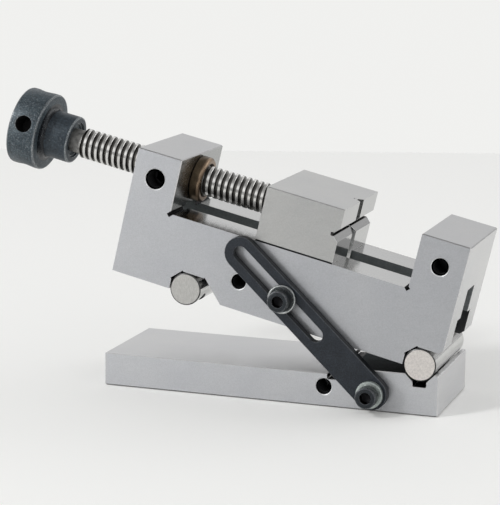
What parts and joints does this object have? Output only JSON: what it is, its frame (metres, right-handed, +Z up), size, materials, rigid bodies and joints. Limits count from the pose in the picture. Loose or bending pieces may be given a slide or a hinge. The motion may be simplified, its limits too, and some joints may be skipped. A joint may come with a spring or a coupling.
{
  "type": "sine vise",
  "caption": "Small toolmaker's sine vise: ground body on two rollers tilts over a stepped base plate, held by a slotted side link, with a screw-driven sliding jaw.",
  "frame": {"origin": "centre of the base plate's underside", "axes": "+X along the plate towards the pivot roller and the fixed jaw, +Z up, -Y is the side with the slotted link"},
  "size_m": [0.2018, 0.0599, 0.1182],
  "materials": {
    "ground_steel": "satin",
    "hardened_steel": "polished",
    "thread_steel": "satin",
    "black_oxide": "satin",
    "black_screws": "satin",
    "zinc_washer": "satin",
    "bronze": "satin"
  },
  "bodies": {
    "base": {"base_plate": "ground_steel"},
    "vise": {"vise_body": "ground_steel", "pivot_roller": "hardened_steel", "lift_roller": "hardened_steel", "pivot_roller_screw_near": "black_screws", "pivot_roller_screw_far": "black_screws", "lift_roller_screw_near": "black_screws", "lift_roller_screw_far": "black_screws", "screw_nut": "bronze", "nut_lock_screw": "black_screws"},
    "jaw": {"movable_jaw": "ground_steel", "jaw_keeper": "ground_steel", "keeper_screw_front": "black_screws", "keeper_screw_rear": "black_screws", "spindle_pin_near": "hardened_steel", "spindle_pin_far": "hardened_steel"},
    "screw": {"spindle": "thread_steel", "knob": "black_oxide", "knob_grub_screw": "black_screws"},
    "link": {"slotted_link": "black_oxide", "link_pivot_washer": "zinc_washer"},
    "link_clamp": {"link_clamp_washer": "black_oxide"},
    "clamp_screw": {"link_clamp_screw": "black_screws"},
    "pivot_screw": {"link_pivot_screw": "black_screws"}
  },
  "joints": [
    {"name": "tilt", "type": "hinge", "parent": "base", "child": "vise", "pos_m": [0.0625, 0, 0.0203], "axis": [0, 1, 0], "range_deg": [-13, 32]},
    {"name": "jaw_slide", "type": "slide", "parent": "vise", "child": "jaw", "axis": [0.9744, 0, -0.225], "range_m": [-0.0314, 0.0314]},
    {"name": "spindle_turn", "type": "hinge", "parent": "jaw", "child": "screw", "pos_m": [-0.00326, 0, 0.07643], "axis": [0.9744, 0, -0.225], "range_deg": [-4270, 4270]},
    {"name": "link_swing", "type": "hinge", "parent": "base", "child": "link", "pos_m": [0.044, 0, 0.008], "axis": [0, 1, 0], "range_deg": [-13.5, 33]},
    {"name": "clamp_slide", "type": "slide", "parent": "link", "child": "link_clamp", "axis": [-0.7219, 0, 0.692], "range_m": [-0.005, 0.0121]},
    {"name": "clamp_screw_turn", "type": "hinge", "parent": "link_clamp", "child": "clamp_screw", "pos_m": [0.00741, 0, 0.04308], "axis": [0, -1, 0], "range_deg": [0, 180]},
    {"name": "pivot_screw_turn", "type": "hinge", "parent": "base", "child": "pivot_screw", "pos_m": [0.044, 0, 0.008], "axis": [0, -1, 0], "range_deg": [0, 180]}
  ],
  "couplings": [
    {"joint": "spindle_turn", "follows": "jaw_slide", "rad_per_m": 2371},
    {"joint": "link_swing", "follows": "tilt", "ratio": 1.02},
    {"joint": "clamp_slide", "follows": "tilt", "m_per_rad": 0.02155}
  ]
}
